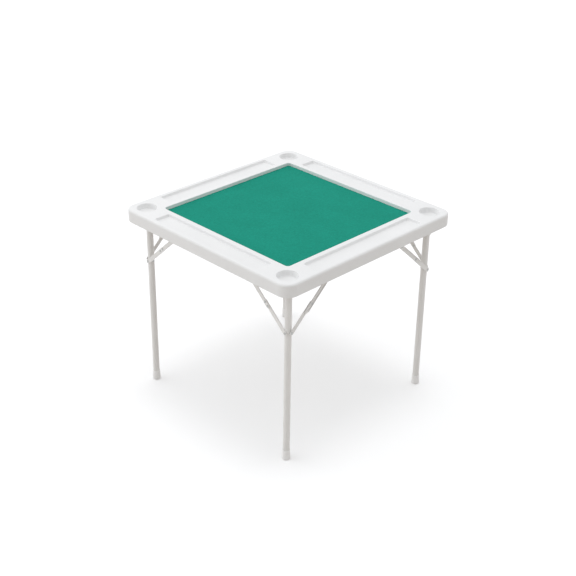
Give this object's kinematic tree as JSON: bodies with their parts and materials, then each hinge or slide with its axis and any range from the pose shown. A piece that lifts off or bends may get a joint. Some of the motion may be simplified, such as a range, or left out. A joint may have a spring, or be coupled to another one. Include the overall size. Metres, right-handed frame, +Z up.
{
  "type": "folding mahjong table",
  "caption": "Square folding game table: white moulded top with a sunken green felt well, trays and cup recesses in the rim, on steel leg frames that fold under it.",
  "frame": {"origin": "on the floor under the middle of the table", "axes": "+Z up, X along the leg axles, Y from the front leg frame to the rear one"},
  "size_m": [0.86, 0.86, 0.745],
  "materials": {
    "moulded_top": "fine moulded texture",
    "felt": "short-napped felt",
    "frame_paint": "powder coat",
    "foot_plastic": "moulded",
    "fitting_plastic": "moulded",
    "zinc": "zinc plated"
  },
  "bodies": {
    "table": {"front_left_saddle": "fitting_plastic", "front_left_stay_tab": "frame_paint", "front_middle_saddle": "fitting_plastic", "front_right_saddle": "fitting_plastic", "front_right_stay_tab": "frame_paint", "playing_felt": "felt", "rear_left_saddle": "fitting_plastic", "rear_left_stay_tab": "frame_paint", "rear_middle_saddle": "fitting_plastic", "rear_right_saddle": "fitting_plastic", "rear_right_stay_tab": "frame_paint", "stay_top_rivets": "zinc", "table_top": "moulded_top", "underside_screws": "zinc"},
    "front_frame": {"front_axle": "frame_paint", "front_axle_plugs": "fitting_plastic", "front_gusset_rivets": "zinc", "front_left_foot_cap": "foot_plastic", "front_left_leg": "frame_paint", "front_left_lower_gusset": "frame_paint", "front_left_upper_gusset": "frame_paint", "front_right_foot_cap": "foot_plastic", "front_right_leg": "frame_paint", "front_right_lower_gusset": "frame_paint", "front_right_upper_gusset": "frame_paint", "front_stay_bushes": "zinc", "front_stay_leg_rivets": "zinc"},
    "rear_frame": {"rear_axle": "frame_paint", "rear_axle_plugs": "fitting_plastic", "rear_gusset_rivets": "zinc", "rear_left_foot_cap": "foot_plastic", "rear_left_leg": "frame_paint", "rear_left_lower_gusset": "frame_paint", "rear_left_upper_gusset": "frame_paint", "rear_right_foot_cap": "foot_plastic", "rear_right_leg": "frame_paint", "rear_right_lower_gusset": "frame_paint", "rear_right_upper_gusset": "frame_paint", "rear_stay_bushes": "zinc", "rear_stay_leg_rivets": "zinc"},
    "front_left_lower_stay": {"front_left_knee_pin": "zinc", "front_left_lower_link": "frame_paint"},
    "front_left_upper_stay": {"front_left_knee_cap": "zinc", "front_left_upper_link": "frame_paint"},
    "front_right_lower_stay": {"front_right_knee_pin": "zinc", "front_right_lower_link": "frame_paint"},
    "front_right_upper_stay": {"front_right_knee_cap": "zinc", "front_right_upper_link": "frame_paint"},
    "rear_left_lower_stay": {"rear_left_knee_pin": "zinc", "rear_left_lower_link": "frame_paint"},
    "rear_left_upper_stay": {"rear_left_knee_cap": "zinc", "rear_left_upper_link": "frame_paint"},
    "rear_right_lower_stay": {"rear_right_knee_pin": "zinc", "rear_right_lower_link": "frame_paint"},
    "rear_right_upper_stay": {"rear_right_knee_cap": "zinc", "rear_right_upper_link": "frame_paint"}
  },
  "joints": [
    {"name": "front_legs_fold", "type": "hinge", "parent": "table", "child": "front_frame", "pos_m": [0, -0.361, 0.704], "axis": [1, 0, 0], "range_deg": [0, 90]},
    {"name": "front_left_lower_stay_turn", "type": "hinge", "parent": "front_frame", "child": "front_left_lower_stay", "pos_m": [-0.3842, -0.361, 0.528], "axis": [1, 0, 0], "range_deg": [0, 47.5]},
    {"name": "front_left_upper_stay_turn", "type": "hinge", "parent": "table", "child": "front_left_upper_stay", "pos_m": [-0.38725, -0.16893, 0.704], "axis": [1, 0, 0], "range_deg": [-42.5, 0]},
    {"name": "front_right_lower_stay_turn", "type": "hinge", "parent": "front_frame", "child": "front_right_lower_stay", "pos_m": [0.3842, -0.361, 0.528], "axis": [1, 0, 0], "range_deg": [0, 47.5]},
    {"name": "front_right_upper_stay_turn", "type": "hinge", "parent": "table", "child": "front_right_upper_stay", "pos_m": [0.38725, -0.16893, 0.704], "axis": [1, 0, 0], "range_deg": [-42.5, 0]},
    {"name": "rear_legs_fold", "type": "hinge", "parent": "table", "child": "rear_frame", "pos_m": [0, 0.361, 0.666], "axis": [-1, 0, 0], "range_deg": [0, 90]},
    {"name": "rear_left_lower_stay_turn", "type": "hinge", "parent": "rear_frame", "child": "rear_left_lower_stay", "pos_m": [-0.3842, 0.361, 0.512], "axis": [-1, 0, 0], "range_deg": [0, 47.5]},
    {"name": "rear_left_upper_stay_turn", "type": "hinge", "parent": "table", "child": "rear_left_upper_stay", "pos_m": [-0.38725, 0.19294, 0.666], "axis": [-1, 0, 0], "range_deg": [-42.5, 0]},
    {"name": "rear_right_lower_stay_turn", "type": "hinge", "parent": "rear_frame", "child": "rear_right_lower_stay", "pos_m": [0.3842, 0.361, 0.512], "axis": [-1, 0, 0], "range_deg": [0, 47.5]},
    {"name": "rear_right_upper_stay_turn", "type": "hinge", "parent": "table", "child": "rear_right_upper_stay", "pos_m": [0.38725, 0.19294, 0.666], "axis": [-1, 0, 0], "range_deg": [-42.5, 0]}
  ],
  "couplings": [
    {"joint": "front_left_lower_stay_turn", "follows": "front_legs_fold", "ratio": 0.52778},
    {"joint": "front_left_upper_stay_turn", "follows": "front_legs_fold", "ratio": -0.47222},
    {"joint": "front_right_lower_stay_turn", "follows": "front_legs_fold", "ratio": 0.52778},
    {"joint": "front_right_upper_stay_turn", "follows": "front_legs_fold", "ratio": -0.47222},
    {"joint": "rear_left_lower_stay_turn", "follows": "rear_legs_fold", "ratio": 0.52778},
    {"joint": "rear_left_upper_stay_turn", "follows": "rear_legs_fold", "ratio": -0.47222},
    {"joint": "rear_right_lower_stay_turn", "follows": "rear_legs_fold", "ratio": 0.52778},
    {"joint": "rear_right_upper_stay_turn", "follows": "rear_legs_fold", "ratio": -0.47222}
  ]
}
